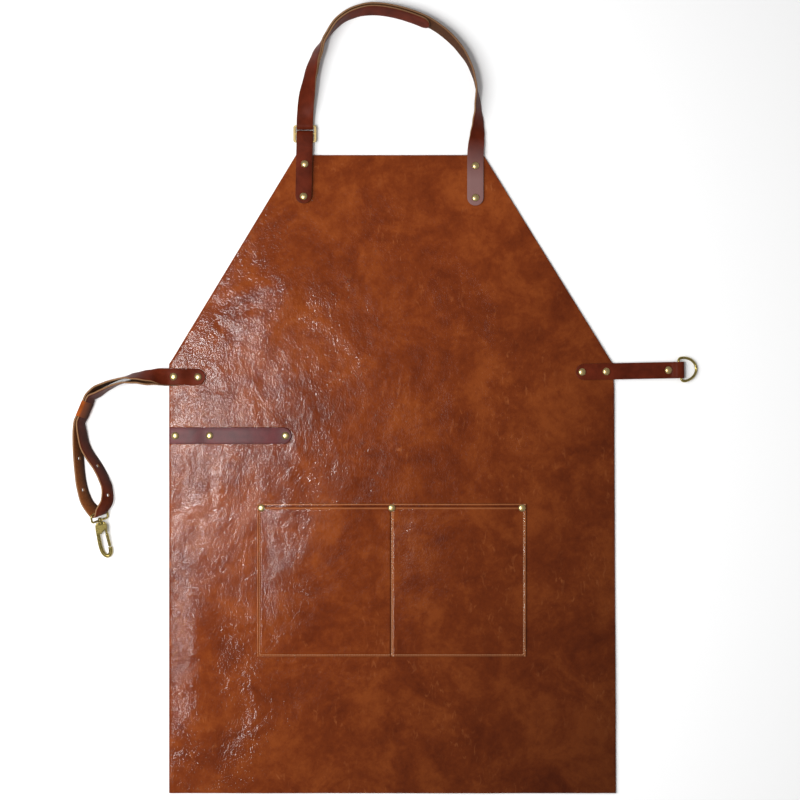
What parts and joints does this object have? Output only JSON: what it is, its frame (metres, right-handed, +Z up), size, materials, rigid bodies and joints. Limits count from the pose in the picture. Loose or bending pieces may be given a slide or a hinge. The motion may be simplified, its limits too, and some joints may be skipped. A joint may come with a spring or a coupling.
{
  "type": "leather apron",
  "caption": "Leather work apron laid flat, with a bib, neck strap and slide, sewn double pocket, tool strip, waist strap with swivel hook and waist strap with ring.",
  "frame": {"origin": "On the panel's back, on its centre line at the height of the waist straps, on the surface that the apron lies on.", "axes": "+Z is up from that surface, +Y is towards the bib and the neck strap, and +X is towards the ring's strap."},
  "size_m": [0.8376, 1.0604, 0.0292],
  "materials": {
    "panel_leather": "glossy waxed grain, suede back",
    "strap_leather": "smooth strap leather with raw tan edges",
    "keeper_leather": "orange-tan strap leather",
    "rivet_brass": "polished",
    "hook_brass": "antique, satin"
  },
  "bodies": {
    "apron": {"apron_panel": "panel_leather", "pocket": "panel_leather", "tool_strip": "strap_leather", "neck_strap": "strap_leather", "neck_tab": "strap_leather", "waist_strap_left": "strap_leather", "waist_strap_right": "strap_leather", "waist_keeper": "keeper_leather", "neck_slide": "rivet_brass", "rivet_neck_left_top": "rivet_brass", "rivet_neck_left_low": "rivet_brass", "rivet_neck_right_top": "rivet_brass", "rivet_neck_right_low": "rivet_brass", "rivet_waist_left_inner": "rivet_brass", "rivet_waist_left_outer": "rivet_brass", "rivet_waist_right_inner": "rivet_brass", "rivet_waist_right_outer": "rivet_brass", "rivet_ring_fold": "rivet_brass", "rivet_tool_edge": "rivet_brass", "rivet_tool_middle": "rivet_brass", "rivet_tool_end": "rivet_brass", "rivet_pocket_left": "rivet_brass", "rivet_pocket_middle": "rivet_brass", "rivet_pocket_right": "rivet_brass"},
    "ring": {"d_ring": "hook_brass"},
    "eye": {"hook_eye": "hook_brass"},
    "hook": {"hook_body": "hook_brass"},
    "gate": {"hook_gate": "hook_brass"}
  },
  "joints": [
    {"name": "ring_swing", "type": "hinge", "parent": "apron", "child": "ring", "pos_m": [0.3867, 0.0067, 0.00475], "axis": [0.1564, -0.9877, 0], "range_deg": [0, 150]},
    {"name": "hook_swing", "type": "hinge", "parent": "apron", "child": "eye", "pos_m": [-0.3923, -0.1849, 0.0142], "axis": [-0.6645, -0.2418, 0.7071], "range_deg": [0, 55]},
    {"name": "hook_swivel", "type": "hinge", "parent": "eye", "child": "hook", "pos_m": [-0.39087, -0.1946, 0.01223], "axis": [0.1431, -0.9699, -0.1973], "continuous": true},
    {"name": "gate_push", "type": "hinge", "parent": "hook", "child": "gate", "pos_m": [-0.38455, -0.20318, 0.01033], "axis": [-0.0288, 0.1952, -0.9803], "range_deg": [0, 16], "stiffness_Nm_per_rad": 0.02, "springref_deg": -5.73}
  ]
}
